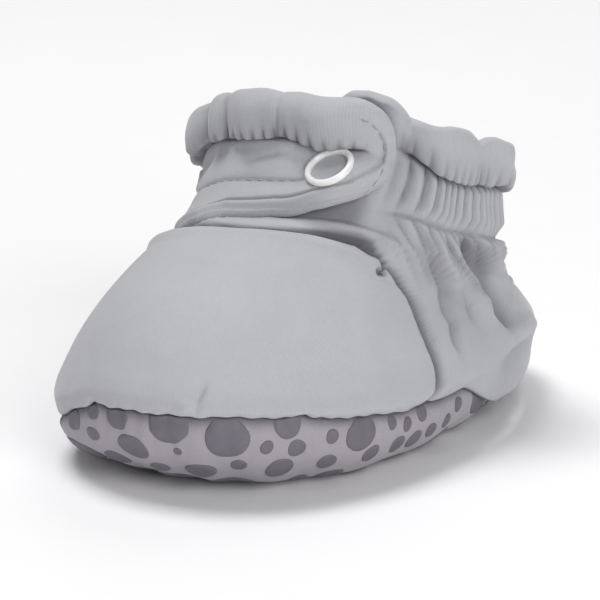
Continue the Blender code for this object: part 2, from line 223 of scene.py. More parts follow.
shares = np.concatenate([np.linspace(0.02, 1.0, 24)[:-1], np.linspace(1.0, 2.0, 34)])
sole_turn, sole_share = np.meshgrid(np.linspace(-180, 180, SOLE_COLUMNS, endpoint=False), shares)
under = sole_point(sole_turn, sole_share)
outward = np.gradient(under, axis=0)
around = np.roll(under, -1, axis=1) - np.roll(under, 1, axis=1)
sole_up = unit(np.cross(outward, around))
# The wadding swells the band between floor and seam, and the seam puckers the cloth a little
band = np.clip(sole_share - 1, 0, 1)
swell = BAND_SWELL * np.sin(math.pi * band**2.2) ** 1.1
edge = bell(2 - sole_share, 0.06)
swept = np.radians(sole_turn)
pucker = SEAM_PUCKER * np.sin(swept * 64 + 1.5 * np.sin(swept * 5))
ripple = BAND_RIPPLE * np.sin(swept * 17 + 2.0 * np.sin(swept * 3))
ripple = ripple * np.sin(math.pi * band) + pucker * ramp(1.6, 1.95, sole_share)
inset = SEAM_INSET * edge
outer_face = under - sole_up * (swell + ripple - inset)[..., None]
outer_face[..., 2] = np.maximum(outer_face[..., 2], 0.0)
inner_face = under + sole_up * SOLE_THICKNESS
# The inner edge stands higher, behind the upper's wall, so that no light comes through the seam
inner_face[-1, :, 2] = outer_face[-1, :, 2] + INNER_EDGE_RISE
sole_points = np.concatenate([outer_face, inner_face[::-1]])
sole_uv = sole_points[..., :2]
sole_uv = sole_uv + unit(sole_uv) * np.concatenate([under[..., 2:], under[::-1, :, 2:]])
# Painted shade darkens the sole's outer face along its seam
sole_painted_shade = np.concatenate([edge**2, 0 * edge])
sole = cloth_object("padded_sole", sole_points, sole_uv, sole_painted_shade, False, True)


def shader_node(tree, kind, settings):
    """A shader node of a kind, with some of its inputs set."""
    node = tree.nodes.new("ShaderNode" + kind)
    for label, value in settings.items():
        node.inputs[label].default_value = value
    return node


def cloth_weave():
    """Node group: the height and shade of a fine knit or weave, over a cloth map in metres."""
    group = bpy.data.node_groups.new("cloth_weave", "ShaderNodeTree")
    face, link = group.interface, group.links.new
    for label in ("Map", "Place"):
        face.new_socket(label, in_out="INPUT", socket_type="NodeSocketVector")
    for label, default in (("Wales per metre", 1600.0), ("Courses per metre", 1900.0), ("Fuzz", 0.5)):
        face.new_socket(label, in_out="INPUT", socket_type="NodeSocketFloat").default_value = default
    for label in ("Height", "Shade"):
        face.new_socket(label, in_out="OUTPUT", socket_type="NodeSocketFloat")
    given = group.nodes.new("NodeGroupInput")
    out = group.nodes.new("NodeGroupOutput")

    def maths(operation, a, b=None, c=None):
        node = shader_node(group, "Math", {})
        node.operation = operation
        for slot, value in enumerate((a, b, c)):
            if isinstance(value, (int, float)):
                node.inputs[slot].default_value = value
            elif value is not None:
                link(value, node.inputs[slot])
        return node.outputs[0]

    def noise(scale, detail):
        node = shader_node(group, "TexNoise", {"Scale": scale, "Detail": detail})
        link(given.outputs["Place"], node.inputs["Vector"])
        return node.outputs["Fac"]

    split = shader_node(group, "SeparateXYZ", {})
    link(given.outputs["Map"], split.inputs[0])
    across = maths("MULTIPLY", split.outputs[0], given.outputs["Wales per metre"])
    along = maths("MULTIPLY", split.outputs[1], given.outputs["Courses per metre"])
    wale = maths("PINGPONG", across, 0.5)
    stitch = maths("ADD", along, maths("MULTIPLY", wale, 1.2))
    loop = maths("SINE", maths("MULTIPLY", stitch, 2 * math.pi))
    rib = maths("SINE", maths("MULTIPLY", wale, math.pi))
    knit = maths("MULTIPLY_ADD", loop, 0.35, rib)
    fuzzy = maths("MULTIPLY_ADD", noise(2600.0, 3.0), given.outputs["Fuzz"], knit)
    link(fuzzy, out.inputs["Height"])
    mottle = maths("MULTIPLY_ADD", noise(90.0, 4.0), 0.6, maths("MULTIPLY", noise(1500.0, 2.0), 0.4))
    link(maths("MULTIPLY_ADD", knit, 0.12, mottle), out.inputs["Shade"])
    return group


def new_material(name, settings):
    """A material, with some sockets of its shader set."""
    made = bpy.data.materials.new(name)
    made.use_nodes = True
    for label, value in settings.items():
        made.node_tree.nodes["Principled BSDF"].inputs[label].default_value = value
    return made


def feed(material, output, socket):
    """Links an output to a socket of the material's shader."""
    shader = material.node_tree.nodes["Principled BSDF"]
    material.node_tree.links.new(output, shader.inputs[socket])


def dyed(material, first, second, share):
    """A colour that goes from the first to the second as share goes from 0 to 1."""
    dye = shader_node(material.node_tree, "Mix", {6: (*first, 1), 7: (*second, 1)})
    dye.data_type = "RGBA"
    material.node_tree.links.new(share, dye.inputs[0])
    return dye.outputs[2]


def emboss(material, height, strength, distance):
    """Gives the material a low relief from a height."""
    bump = shader_node(material.node_tree, "Bump", {"Strength": strength, "Distance": distance})
    material.node_tree.links.new(height, bump.inputs["Height"])
    feed(material, bump.outputs[0], "Normal")


LOOP_RELIEF = 0.05 * MM
SHADE_SPREAD = 0.05


def cloth_material(name, colour, shade_colour, wales, fuzz, sheen):
    """A soft matt cloth, darkened towards its second colour as painted shade where the piece's points
    carry painted shade.
    """
    made = new_material(name, {
        "Roughness": 0.92, "Specular IOR Level": 0.25, "Sheen Weight": sheen, "Sheen Roughness": 0.5,
    })
    tree, link = made.node_tree, made.node_tree.links.new
    cloth_map = shader_node(tree, "UVMap", {})
    cloth_map.uv_map = "cloth"
    weave = shader_node(tree, "Group", {})
    weave.node_tree = bpy.data.node_groups.get("cloth_weave") or cloth_weave()
    weave.inputs["Wales per metre"].default_value = wales
    weave.inputs["Courses per metre"].default_value = wales * 1.2
    weave.inputs["Fuzz"].default_value = fuzz
    link(cloth_map.outputs[0], weave.inputs["Map"])
    link(shader_node(tree, "TexCoord", {}).outputs["Object"], weave.inputs["Place"])
    shade = shader_node(tree, "MapRange", {
        "From Min": 0.3, "From Max": 0.8, "To Min": 1 - SHADE_SPREAD, "To Max": 1 + SHADE_SPREAD,
    })
    link(weave.outputs["Shade"], shade.inputs["Value"])
    # The painted shade from the piece's points turns the colour towards the shade colour
    painted_shade_input = shader_node(tree, "Attribute", {})
    painted_shade_input.attribute_name = "painted_shade"
    tint = shader_node(tree, "VectorMath", {})
    tint.operation = "SCALE"
    link(dyed(made, colour, shade_colour, painted_shade_input.outputs["Fac"]), tint.inputs[0])
    link(shade.outputs[0], tint.inputs["Scale"])
    feed(made, tint.outputs[0], "Base Color")
    emboss(made, weave.outputs["Height"], 0.6, LOOP_RELIEF)
    return made


SOLE_CLOTH = (0.365, 0.345, 0.375)
# The sole cloth's colour in painted shade
SOLE_SHADE = (0.16, 0.15, 0.17)
sole.data.materials.append(
    cloth_material("sole_cloth", SOLE_CLOTH, SOLE_SHADE, wales=1500, fuzz=0.9, sheen=0.25)
)
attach(sole, "root")
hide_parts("sole")

# Grip dots
# Round dots of a soft grey compound are printed on the sole, of many sizes and close together.
# They are a fraction of a millimetre thick, follow the cloth, and are cut off by the seam.
sole_skin = BVHTree.FromPolygons(
    [Vector(point) for point in outer_face.reshape(-1, 3)],
    grid_quads(len(shares), SOLE_COLUMNS, False, True),
)

# The dots of the front band, as the eye meets them from ahead and to the outer side: how far
# across and up from the middle of the sole, and how wide, in millimetres
FRONT_DOTS = (
    (-32.9, 3.2, 5.2), (-23.5, 1.9, 8.2), (-13.0, -0.6, 8.7), (-2.3, 1.9, 5.8), (-0.6, -2.5, 5.5),
    (5.8, -0.5, 2.9), (11.1, -0.3, 7.1), (16.8, 1.7, 2.8), (19.7, 1.3, 3.0), (-37.6, -0.2, 3.2),
    (-30.1, -2.5, 7.2), (-21.9, -3.0, 6.0), (-33.2, -4.5, 5.4), (-25.3, -6.1, 4.0), (-17.9, -6.8, 6.2),
    (-11.0, -5.5, 3.2), (-3.7, -6.3, 8.4), (4.8, -5.2, 4.2), (5.3, -7.6, 5.4), (12.9, -3.9, 4.2),
    (11.2, -7.2, 4.6), (17.8, -2.4, 4.2), (20.9, -1.6, 4.4), (24.2, 0.0, 3.2), (23.7, -2.9, 3.4),
    (27.2, 1.6, 3.0), (29.6, 4.6, 3.2),
)
AHEAD_ACROSS = Vector((0.819, 0.574, 0.0))
AHEAD_UP = Vector((-0.153, 0.219, 0.964))
AHEAD_TOWARD = Vector((0.553, -0.789, 0.267))
DOT_GAP = 1.1 * MM
DOT_HEIGHT = 0.20 * MM
DOT_EDGE = 26
DOT_SIZES = (4.4, 3.8, 3.3, 2.8, 2.4, 2.0, 1.7, 1.4)
DOT_TRIES = 700
CHARTED_GAP = 0.6 * MM
DOT_HEART = Vector((0.0, SOLE_CENTRE_Y, 0.03))

dot_spots = []
for across, up, wide in FRONT_DOTS:
    for drop in (0.0, 0.5, 1.0, 1.5, 2.0):
        start = (AHEAD_ACROSS * across + AHEAD_UP * (up - drop)) * MM + AHEAD_TOWARD * 0.3
        spot, normal, _, _ = sole_skin.ray_cast(start, -AHEAD_TOWARD)
        if spot is not None and (spot - DOT_HEART).dot(AHEAD_TOWARD) > 0:
            dot_spots.append([spot, wide / 2 * MM])
            break
for spot, radius in dot_spots:
    for other in dot_spots:
        apart = (other[0] - spot).length
        if 0 < apart < radius + other[1] + CHARTED_GAP:
            other[1] = max(apart - radius - CHARTED_GAP, CHARTED_GAP)
chance = np.random.default_rng(17)
for size in DOT_SIZES:
    for _ in range(DOT_TRIES):
        turn, share = chance.uniform(-180, 180), 1.99 * math.sqrt(chance.uniform())
        spot = Vector(sole_point(np.array(turn), np.array(share)))
        radius = size * MM * chance.uniform(0.9, 1.1)
        if all((spot - other).length > radius + far + DOT_GAP for other, far in dot_spots):
            dot_spots.append([spot, radius])

# Each dot is rings of points, from its edge in to its middle: how far out and how high each is
DOT_RINGS = ((1.0, -0.3), (0.99, 0.45), (0.93, 0.85), (0.7, 1.0), (0.45, 1.0), (0.2, 1.0))
dot_points, dot_faces = [], []
for spot, radius in dot_spots:
    spot, normal, _, _ = sole_skin.find_nearest(spot)
    if normal.dot(spot - DOT_HEART) < 0:
        normal = -normal
    side = normal.cross(Vector((0.3, 1, 0.1))).normalized()
    other = normal.cross(side)
    squeeze, lean = chance.uniform(0.9, 1.0), chance.uniform(0, math.pi)
    first = len(dot_points)
    for reach, lift in DOT_RINGS:
        for step in range(DOT_EDGE):
            angle = 2 * math.pi * step / DOT_EDGE
            wobble = 1 + 0.03 * math.sin(2 * angle + lean) + 0.02 * math.sin(3 * angle - lean)
            away = side * math.cos(angle) + other * math.sin(angle) * squeeze
            at, out, _, _ = sole_skin.find_nearest(spot + away * radius * reach * wobble)
            if out.dot(normal) < 0:
                out = -out
            dot_points.append(at + out * DOT_HEIGHT * lift)
    dot_points.append(spot + normal * DOT_HEIGHT)
    for row in range(len(DOT_RINGS) - 1):
        for step in range(DOT_EDGE):
            a = first + row * DOT_EDGE + step
            b = first + row * DOT_EDGE + (step + 1) % DOT_EDGE
            dot_faces.append((a, b, b + DOT_EDGE, a + DOT_EDGE))
    last = first + (len(DOT_RINGS) - 1) * DOT_EDGE
    for step in range(DOT_EDGE):
        dot_faces.append((last + step, last + (step + 1) % DOT_EDGE, len(dot_points) - 1))
    dot_faces.append(tuple(first + step for step in range(DOT_EDGE))[::-1])
grip_dots = new_piece("grip_dots", dot_points, dot_faces)


def object_noise(material, scale, detail=2.0):
    """A noise over the piece, as a value."""
    noise = shader_node(material.node_tree, "TexNoise", {"Scale": scale, "Detail": detail})
    place = shader_node(material.node_tree, "TexCoord", {})
    material.node_tree.links.new(place.outputs["Object"], noise.inputs["Vector"])
    return noise.outputs["Fac"]


grip = new_material("grip_compound", {"Roughness": 0.62, "Specular IOR Level": 0.35})
GRIP_DARK, GRIP_LIGHT = (0.135, 0.125, 0.148), (0.185, 0.172, 0.198)
feed(grip, dyed(grip, GRIP_DARK, GRIP_LIGHT, object_noise(grip, 420.0, 4.0)), "Base Color")
emboss(grip, object_noise(grip, 2400.0), 0.5, 0.04 * MM)
grip_dots.data.materials.append(grip)
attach(grip_dots, "root")

# Footbed
# The real footbed is the lining jersey over the sole's wadding, soft and slightly dished, and
# it is held at its edge by the sole seam.
FOOTBED_THICKNESS = 2.0 * MM
BED_GAP = 0.35 * MM
LINING_JERSEY = (0.50, 0.50, 0.52)
# The lining's colour in painted shade
LINING_SHADE = (0.2, 0.2, 0.21)
bed_share = np.concatenate([np.linspace(0.02, 1.0, 16)[:-1], np.linspace(1.0, 1.5, 14)])
bed_turn, bed_share = np.meshgrid(np.linspace(-180, 180, 160, endpoint=False), bed_share)
below = sole_point(bed_turn, bed_share)
bed_round = np.roll(below, -1, axis=1) - np.roll(below, 1, axis=1)
bed_up = unit(np.cross(np.gradient(below, axis=0), bed_round))
bed_low = below + bed_up * (SOLE_THICKNESS + BED_GAP)
dish = 0.15 * MM * np.sin(bed_turn / 9) * np.sin(bed_share * 9) * ramp(0.0, 0.8, bed_share)
bed_edge = ramp(1.5, 1.38, bed_share)
bed_high = bed_low + bed_up * (FOOTBED_THICKNESS * (0.35 + 0.6 * bed_edge) + dish)[..., None]
bed_points = np.concatenate([bed_low, bed_high[::-1]])
# The footbed gets no painted shade
bed_painted_shade = np.zeros(bed_points.shape[:2])
footbed = cloth_object("footbed", bed_points, bed_points[..., :2], bed_painted_shade, False, True)
footbed.data.materials.append(
    cloth_material("lining_jersey", LINING_JERSEY, LINING_SHADE, wales=1500, fuzz=0.8, sheen=0.2)
)
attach(footbed, "root")
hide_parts("insole")

# Quarters, casing and ruffle
# The real piece is doubled cotton jersey that runs from the sole round the heel and under the
# strap. Two lines of stitching hold elastic in a casing round the ankle. The cloth is gathered
# on it, falls below it in soft folds, and stands above it as a puffy ruffle with a folded rim.
WALL = 2.2 * MM
RUFFLE_WALL = 2.4 * MM
BEHIND_VAMP = 3.6 * MM
UNDER_FLAP = 1.5 * MM
UNDER_STRAP = 2.7 * MM
SEAM_PINCH = 0.6 * MM
STRAP_ROOT = -64.3
RIB_PITCH = 2.1 * MM
RIB_LEAN = 6.2 * MM
FOLD_STRENGTH = 1.6
CASING_RIB, LOWER_RIB, BROAD_RIB, UPPER_RIB = 1.9, 1.35, 1.25, 0.8
RUFFLE_SWELL = 3.2 * MM
RUFFLE_FLARE, LOBE_FLARE = 1.5, 1.9
RUFFLE_OVERHANG = 1.5 * MM
JERSEY = (0.448, 0.453, 0.478)
# The jersey's colour in painted shade
JERSEY_SHADE = (0.13, 0.13, 0.145)


def seam_turn(level):
    """Where the vamp's seam is at a level, in degrees from the toe."""
    levels = (0, 1, 1.85, 2.6, 3.3, 4.0, 4.55, 5.0, 5.35, 5.85, 6.3)
    return np.interp(level, levels, (91, 89.5, 87, 84.2, 81, 77, 73, 68.8, 64, 56.5, 51))


def strap_foot(turn):
    """The level that the strap's lower edge hangs to."""
    turns = (-66, -50, -35, -23, -12, 7, 26, 37, 60)
    return np.interp(turn, turns, (5.6, 5.6, 5.75, 6.05, 6.6, 6.9, 6.95, 6.9, 6.7))


def vamp_edge(turn):
    """The level of the vamp's free top edge."""
    turns = (-56, -40, -25, -5, 10, 30, 44, 56)
    return np.interp(turn, turns, (5.2, 5.15, 5.35, 5.62, 5.76, 5.92, 5.96, 5.75))


def low_line(turn):
    """The level of the casing's lower stitching, with turn from -180 to 180."""
    turns = (-180, -130, -90, -64, 43, 62, 83, 98, 125, 180)
    return np.interp(turn, turns, (6.85, 6.75, 6.8, 6.95, 7.2, 7.12, 6.9, 6.66, 6.62, 6.85))


def top_line(turn):
    """The level of the casing's upper stitching."""
    turns = (-180, -120, -64, 40, 58, 67, 80, 99, 125, 180)
    return np.interp(turn, turns, (7.9, 7.9, 7.97, 8.1, 8.15, 8.12, 8.02, 7.88, 7.85, 7.9))


def rim_line(turn):
    """The level of the ruffle's rim on the ankle. It is lower from behind the outer side on."""
    turns = (-180, -140, -90, -60, 20, 34, 44, 52, 58, 66, 76, 84, 92, 104, 118, 135, 155, 180)
    levels = (
        8.7, 8.75, 8.85, 8.85, 8.93, 9.08, 8.9, 8.62, 8.7, 8.8, 8.76, 8.58, 8.62, 8.5, 8.34, 8.38,
        8.52, 8.7,
    )
    return np.interp(turn, turns, levels)


def soft_line(points, turns_levels, width):
    """1 along a line that is laid over the form through (turn, level) spots, fading to 0 at
    about twice its width, and fading over its two ends."""
    spots = np.array(turns_levels, float)
    knots = np.arange(len(spots))
    fine = np.linspace(0, len(spots) - 1, 7 * len(spots))
    line = form(np.interp(fine, knots, spots[:, 0]), np.interp(fine, knots, spots[:, 1]))
    run = np.concatenate([[0], np.cumsum(np.linalg.norm(np.diff(line, axis=0), axis=1))])
    best = np.full(points.shape[:2], 1e9)
    along = np.zeros(points.shape[:2])
    for start, step, at in zip(line[:-1], np.diff(line, axis=0), run):
        length = np.linalg.norm(step)
        from_start = points - start
        passed = np.clip(from_start @ step / length**2, 0, 1)
        far = ((from_start - passed[..., None] * step) ** 2).sum(axis=-1)
        closer = far < best
        best[closer] = far[closer]
        along[closer] = at + passed[closer] * length
    ends = min(6.0 * MM, run[-1] / 3)
    fade = ramp(0, ends, along) * ramp(run[-1], run[-1] - ends, along)
    return np.exp(-best / width**2) * (0.12 + 0.88 * fade)


def folded(points, chart, strength=1.0):
    """The height over points of all folds of a chart. Each fold is a line of (turn, level) spots,
    how wide it is, and how high it stands or how deep it lies, in millimetres."""
    height = np.zeros(points.shape[:2])
    for line, wide, high in chart:
        height = height + strength * high * MM * soft_line(points, line, wide * MM)
    return height


def crowns(turn, valleys, power=0.55):
    """0 in each valley of a ruffle and 1 on the crowns between."""
    edges = np.array(valleys, float)
    spot = np.clip(np.searchsorted(edges, turn, side="right") - 1, 0, len(edges) - 2)
    share = np.clip((turn - edges[spot]) / (edges[spot + 1] - edges[spot]), 0, 1)
    return np.sin(math.pi * share) ** power


def ring_run(turns, level):
    """Distance run along one ring of the form, in metres."""
    return paced(form(turns[None, :], np.array([[level]])), 1)[0]


QUARTER_FOLDS = (
    (((80, 6.9), (87, 6.4), (97, 5.6), (104, 5.05), (113, 3.1), (115, 1.9)), 2.7, -2.5),
    (((88, 6.8), (96, 6.5), (111, 6.0), (120, 4.9), (127, 3.6)), 2.0, 1.3),
    (((74, 6.7), (86, 5.7), (99, 4.3), (106, 2.6)), 2.4, 1.2),
    (((62, 5.6), (73, 4.7), (84, 3.05), (89, 1.6)), 0.9, -0.9),
    (((66, 6.6), (76, 5.65), (89, 3.7), (94, 1.65)), 1.2, -1.1),
    (((60, 6.9), (66, 6.3), (74, 5.4)), 1.2, -0.7),
    (((72, 6.9), (80, 6.1), (92, 4.6), (99, 2.9)), 1.2, -0.8),
    (((98, 6.6), (112, 6.2), (124, 5.2), (133, 3.9)), 1.5, -1.4),
    (((106, 6.6), (120, 6.1), (130, 5.2)), 1.3, 0.8),
    (((128, 6.7), (134, 5.8), (143, 4.4)), 2.2, -1.4),
    (((142, 6.7), (150, 5.6), (154, 3.8)), 2.0, 1.0),
    (((158, 6.8), (162, 5.9), (170, 4.6)), 2.2, -1.5),
    (((176, 6.7), (180, 5.6), (184, 4.2)), 2.0, 0.9),
    (((196, 6.8), (194, 5.8), (186, 4.7)), 2.2, -1.5),
    (((213, 6.7), (208, 5.6), (203, 4.0)), 2.0, 1.0),
    (((230, 6.8), (224, 5.9), (216, 4.5)), 2.3, -1.6),
    (((248, 6.7), (240, 5.8), (234, 4.2)), 2.0, 1.0),
    (((263, 6.8), (254, 6.0), (246, 4.4), (244, 2.6)), 2.5, -2.0),
    (((276, 6.7), (268, 5.6), (260, 4.0)), 2.2, 1.0),
    (((288, 6.5), (280, 5.3), (271, 3.6), (268, 2.0)), 1.2, -1.0),
    (((108, 0.7), (120, 1.2), (131, 1.2), (143, 0.8)), 1.6, -0.7),
    (((112, 2.0), (122, 2.0), (134, 1.7)), 2.0, 0.7),
    (((233, 1.0), (226, 0.8), (218, 0.9)), 1.2, -0.8),
    (((160, 0.7), (168, 0.9), (176, 0.6)), 1.1, -0.7),
)
RUFFLE_VALLEYS = (
    -75.0, -62.0, -48.0, -30.0, -12.0, 6.0, 26.0, 52.0, 84.0, 114.0, 133.0, 150.0, 169.0, 186.0,
    206.0, 222.0, 241.0, 257.0, 274.0, 290.0,
)
outer_levels = np.concatenate([np.linspace(0, 6.5, 46), np.linspace(6.5, RIM, 70)[1:]])
inner_levels = np.concatenate([np.linspace(RIM, 6.6, 34)[1:], np.linspace(6.6, 0.35, 14)[1:]])
QUARTER_COLUMNS = 520
ring_turns = np.linspace(-70, 290, QUARTER_COLUMNS, endpoint=False)
rows_outer = len(outer_levels)
turn, level = np.meshgrid(ring_turns, np.concatenate([outer_levels, inner_levels]))
signed = (turn + 180) % 360 - 180
top, low, rim = top_line(signed), low_line(signed), rim_line(signed)
level = np.where(level > 8, 8 + (level - 8) * (rim - 8), level)
skin = sewn_out(form(turn, level), level)
out = form_out(turn, level)
run = paced(skin, 1)
# seam_run is the way from the vamp's seam, above 0 on the quarters
seam_run = np.empty_like(run)
for row in range(len(run)):
    edge_turn = float(seam_turn(level[row, 0]))
    right = run[row] - np.interp(edge_turn, ring_turns, run[row])
    left = np.interp(360 - edge_turn, ring_turns, run[row]) - run[row]
    left_near = np.interp(-edge_turn, ring_turns, run[row]) - run[row]
    seam_run[row] = np.where(ring_turns < 0, left_near, np.minimum(right, left))

# The cloth lies deeper than the form where the vamp, the strap's flap or the strap covers it
in_vamp = ramp(-0.5 * MM, -6.0 * MM, seam_run)
edge_at = vamp_edge(signed)
seam_dip = bell(seam_run, 1.25 * MM) * ramp(edge_at + 0.3, edge_at - 0.1, level)
behind = BEHIND_VAMP * in_vamp * ramp(edge_at + 0.50, edge_at + 0.16, level)
inside = np.arange(len(level))[:, None] >= rows_outer
root_inside = ramp(STRAP_ROOT - 14, STRAP_ROOT + 14, signed)
root = np.where(inside, root_inside, ramp(STRAP_ROOT, STRAP_ROOT + 1.5, signed))
foot = strap_foot(signed)
under_flap = ramp(56, 49, signed) * root * ramp(5.2, 5.6, level)
under_strap = ramp(66, 48, signed) * root * ramp(foot - 0.30, foot - 0.02, level)
sunk = np.maximum(behind, np.maximum(UNDER_FLAP * under_flap, UNDER_STRAP * under_strap))

folds = folded(skin, QUARTER_FOLDS, FOLD_STRENGTH) * (1 - 0.35 * ramp(125, 150, turn))
folds = folds * ramp(0.0, 2.5 * MM, seam_run) * ramp(0.0, 0.5, level)

# Ribs of the gathered casing, and the same ribs running on below it as they lean back and fade
open_ankle = 1 - under_strap
open_ribs = 1 - ramp(57, 47, signed) * root
lean = np.clip(1.25 * np.sin(np.radians(signed)), -1, 1)
leaning = ring_run(ring_turns, 7.4)[None, :] - RIB_LEAN * lean * np.maximum(low - level, 0)
phase = leaning / RIB_PITCH + 0.45 * np.sin(leaning / (7.3 * MM))
phase = phase + 0.33 * np.sin(leaning / (3.1 * MM) + 1)
phase = phase + 0.12 * np.sin(level * 4 + signed / 11)
rib = np.abs(np.sin(math.pi * phase)) ** 0.75
rib_size = 0.72 + 0.28 * np.sin(math.pi * phase / 2.7 + 0.8)
broad = np.abs(np.sin(math.pi * (phase / 2.35 + 0.2))) ** 0.9
inside_casing = ramp(low - 0.02, low + 0.35, level) * ramp(top, top - 0.22, level)
below_reach = 0.9 + 0.8 * ramp(98, 82, signed) * ramp(40, 50, signed)
just_below = ramp(0.5 * MM, 4 * MM, seam_run) * ramp(low - below_reach, low - 0.1, level) ** 1.2
just_below = just_below * ramp(low + 0.02, low - 0.10, level)
far_below = ramp(low - 2.9, low - 0.5, level) ** 1.2 * ramp(low, low - 0.35, level)
far_below = far_below * ramp(3 * MM, 9 * MM, seam_run) * (1 - 0.5 * ramp(92, 104, signed))
above_casing = ramp(top + 0.45, top + 0.06, level) * ramp(top - 0.02, top + 0.08, level)
gather = CASING_RIB * inside_casing * rib * rib_size + LOWER_RIB * just_below * rib * rib_size
gather = gather + BROAD_RIB * far_below * (broad - 0.4) + UPPER_RIB * above_casing * (rib - 0.3)
stitch_low, stitch_top = bell(level - low, 0.05), bell(level - top, 0.05)
casing = MM * (gather + 0.3 * inside_casing - 0.4 * stitch_low - 1.1 * stitch_top)

# The ruffle is a soft tube that swells out over the casing and leans back to its rim
rise = np.clip((level - top) / (rim - top), 0, 1)
crown = crowns(turn, RUFFLE_VALLEYS)
end_lobe = ramp(88, 98, signed) * ramp(150, 128, signed)
tube = RUFFLE_SWELL * np.sin(math.pi * rise**0.60) * (0.25 + 0.75 * crown)
tube = tube * (1 + 0.05 * end_lobe)
flare = MM * ramp(0.25, 1.0, rise) * (RUFFLE_FLARE * (crown - 0.35) + LOBE_FLARE * end_lobe)
small = 0.35 * MM * np.sin(signed / 3.7 + 2 * np.sin(signed / 15)) * ramp(0.05, 0.3, rise)
overhang = -RUFFLE_OVERHANG * ramp(0.0, 0.13, rise) * ramp(0.62, 0.16, rise)
overhang = overhang * (0.25 + 0.75 * crown)
overhang = overhang * (1 - 0.6 * end_lobe)
overhang = overhang * (1 - 0.8 * ramp(-100, -84, signed) * ramp(-50, -58, signed))
rim_rise = MM * (0.9 * crown - 0.7 + 0.2 * np.sin(signed / 5.1)) * ramp(0.35, 1.0, rise)

lift = -sunk - 0.8 * MM * seam_dip + folds + casing * (0.2 + 0.8 * open_ribs)
lift = lift + (tube + flare + small) * (0.15 + 0.85 * open_ankle)
lift = lift - SEAM_PINCH * bell(level, 0.07)
shell = skin + out * lift[..., None]
shell[..., 2] += overhang * open_ankle + rim_rise * (0.3 + 0.7 * open_ankle)
shell[..., 2] += seam_rise(turn) * ramp(0.9, 0.0, level)
shell[..., 2] -= 2.4 * MM * ramp(28, 20, signed) * under_strap * ramp(0.4, 1, rise)

# At the outer side of the heel the cloth hangs down over the sole's edge
HANG_OUT, HANG_DOWN = 2.4 * MM, 4.4 * MM
hang = ramp(103, 113, signed) * ramp(168, 150, signed) * ramp(1.1, 0.12, level)
away = unit(np.stack([skin[..., 0], skin[..., 1] - SOLE_CENTRE_Y, 0 * level], axis=-1))
shell = shell + away * (HANG_OUT * hang)[..., None]
shell[..., 2] -= HANG_DOWN * hang

outer = shell[:rows_outer]
wall = np.where(rise > 0.1, RUFFLE_WALL, WALL)[rows_outer:]
inner = shell[rows_outer:] - out[rows_outer:] * wall[..., None]
ROLL_ROWS = 7


def rolled(front, behind, onward):
    """A half-round fold from the front edge of a cloth to its back edge."""
    middle, half = (front + behind) / 2, (front - behind) / 2
    size = np.linalg.norm(half, axis=-1, keepdims=True)
    swings = np.linspace(0, math.pi, ROLL_ROWS + 2)[1:-1]
    return np.array([middle + half * math.cos(a) + onward * size * math.sin(a) for a in swings])


def with_roll(front, back):
    """Painted-shade values of a cloth's front and back, and none on the folded edge between them."""
    return np.concatenate([front, np.zeros((ROLL_ROWS, front.shape[1])), back])


over = rolled(outer[-1], inner[0], np.array([[0.0, 0.0, 1.0]]))
quarter_points = np.concatenate([outer, over, inner])
cloth_up = paced(quarter_points, 0)
cloth_round = np.broadcast_to(ring_run(ring_turns, 5.0), cloth_up.shape)
quarter_uv = np.stack([cloth_round, cloth_up], axis=-1)

# Painted shade darkens the cloth along the stitching, between the gathers, in fold valleys, on the
# ruffle's lower part, behind the vamp's edge, under the strap's edge and along the seams
between_ribs = 0.85 * (1 - rib) ** 1.5 * (inside_casing + 0.8 * above_casing + 0.7 * just_below)
painted_shade = 0.95 * stitch_top + 0.3 * stitch_low + between_ribs
painted_shade = (painted_shade + 0.45 * far_below * (1 - broad) ** 1.5) * open_ribs
painted_shade = painted_shade + 0.55 * np.clip(-folds / (2.2 * MM), 0, 1) ** 1.3
under_ruffle = 0.5 * (1.1 - rib) * ramp(top - 0.42, top - 0.08, level) * ramp(top + 0.1, top, level)
painted_shade = painted_shade + under_ruffle * open_ribs
painted_shade = painted_shade + (0.45 * (1 - crown) ** 2 + 0.16) * ramp(0.02, 0.1, rise) * ramp(0.8, 0.2, rise)
painted_shade = painted_shade + 0.95 * ramp(edge_at + 0.66, edge_at + 0.42, level) * ramp(0, -1.5 * MM, seam_run)
painted_shade = painted_shade + 0.65 * ramp(foot - 0.28, foot - 0.08, level) * ramp(48, 38, signed) * root
painted_shade = np.clip(painted_shade + 0.9 * seam_dip + 0.8 * bell(level, 0.08), 0, 1)
painted_shade = with_roll(painted_shade[:rows_outer], 0.1 * painted_shade[rows_outer:])
quarters = cloth_object("quarters_and_ruffle", quarter_points, quarter_uv, painted_shade, True, True)
jersey = cloth_material("grey_jersey", JERSEY, JERSEY_SHADE, wales=1700, fuzz=0.7, sheen=0.3)
quarters.data.materials.append(jersey)
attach(quarters, "root")
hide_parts("upper")

# Vamp
# The real vamp is one smooth panel of doubled jersey, sewn into the quarters at both sides and to
# the sole in front. Its top edge is folded and free, and the flap under the strap goes in behind it.
VAMP_THICKNESS = 1.9 * MM
VAMP_COLUMNS = 300
VAMP_ROWS = 120
VAMP_BACK_ROWS = 40
HEM_RISE = 0.75 * MM
EDGE_TURN = 1.6 * MM
# A metre, which is farther than any edge of the shoe
FAR_OFF = 1.0
climb = np.concatenate([np.linspace(0, 1, VAMP_ROWS), np.linspace(1, 0, VAMP_BACK_ROWS)])
share, climb = np.meshgrid(np.linspace(-1, 1, VAMP_COLUMNS), climb)
